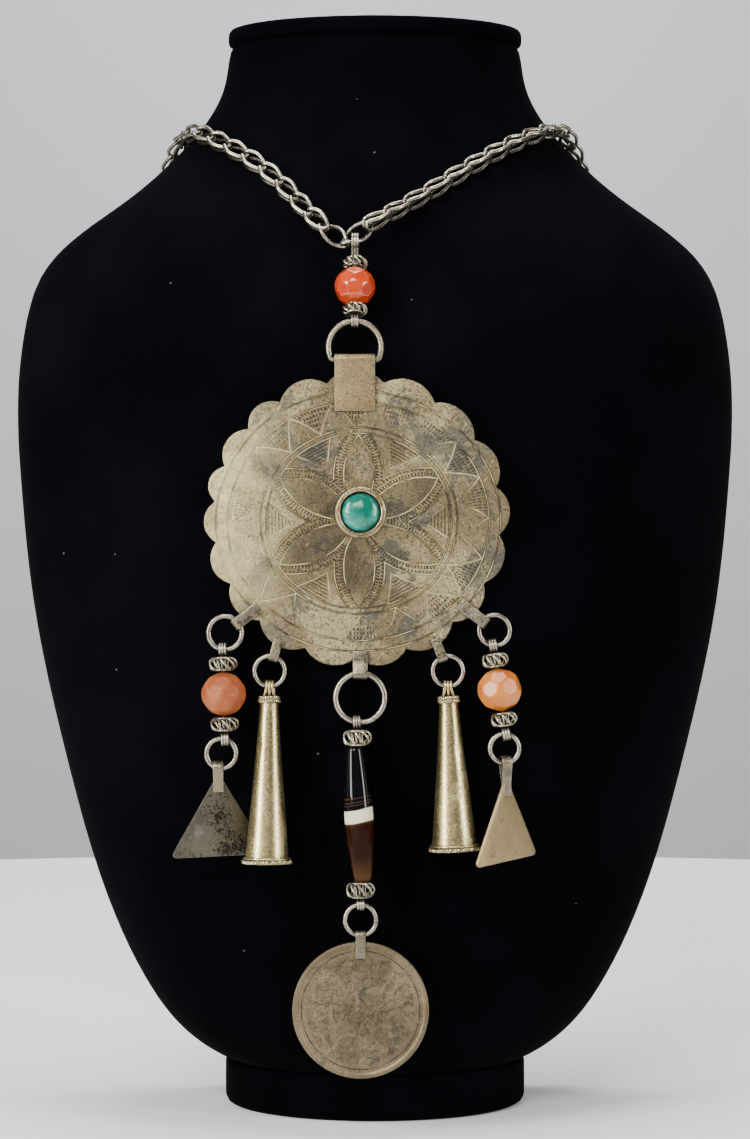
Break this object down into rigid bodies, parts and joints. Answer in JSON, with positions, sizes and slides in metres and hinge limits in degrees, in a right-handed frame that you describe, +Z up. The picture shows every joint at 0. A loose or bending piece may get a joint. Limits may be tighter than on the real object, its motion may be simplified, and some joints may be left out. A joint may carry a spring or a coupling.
{
  "type": "coin necklace on neck bust",
  "caption": "Tribal style necklace with an engraved silver medallion, hanging beads, cones, triangles and a coin, worn by a black velvet neck bust.",
  "frame": {"origin": "middle of the underside of the bust's foot, where it stands on a table", "axes": "+Z up, -Y towards the viewer in front of the bust, +X to the viewer's right"},
  "size_m": [0.2124, 0.0958, 0.3182],
  "materials": {
    "velvet": "black velvet",
    "aged_silver": "aged silver with dark tarnish in its hollows",
    "chain_silver": "worn silver wire",
    "coin_silver": "worn brownish silver coin",
    "dark_plate": "dark speckled plate",
    "pale_plate": "sandy pale plate",
    "turquoise_stone": "polished teal stone",
    "carnelian": "glossy faceted orange-red stone",
    "pink_bead": "matte salmon pink stone",
    "peach_bead": "glossy translucent peach stone",
    "agate": "polished agate, black above, brown-red below, one white band"
  },
  "bodies": {
    "root": {"bust_form": "velvet", "bust_lid": "velvet", "bust_foot": "velvet", "chain": "chain_silver", "clasp_hook": "chain_silver", "top_wire": "chain_silver", "top_spacer_upper": "aged_silver", "top_bead": "carnelian", "top_spacer_lower": "aged_silver", "top_ring": "aged_silver", "medallion": "aged_silver", "stone": "turquoise_stone", "left_ring_upper": "chain_silver", "left_wire": "chain_silver", "left_spacer_upper": "aged_silver", "left_bead": "pink_bead", "left_spacer_lower": "aged_silver", "left_ring_lower": "chain_silver", "left_triangle": "dark_plate", "left_cone_ring": "chain_silver", "left_cone": "aged_silver", "centre_ring_upper": "chain_silver", "centre_wire": "chain_silver", "centre_spacer_upper": "aged_silver", "agate_bead": "agate", "centre_spacer_lower": "aged_silver", "centre_ring_lower": "chain_silver", "coin": "coin_silver", "right_cone_ring": "chain_silver", "right_cone": "aged_silver", "right_ring_upper": "chain_silver", "right_wire": "chain_silver", "right_spacer_upper": "aged_silver", "right_bead": "peach_bead", "right_spacer_lower": "aged_silver", "right_ring_lower": "chain_silver", "right_triangle": "pale_plate"}
  },
  "joints": []
}
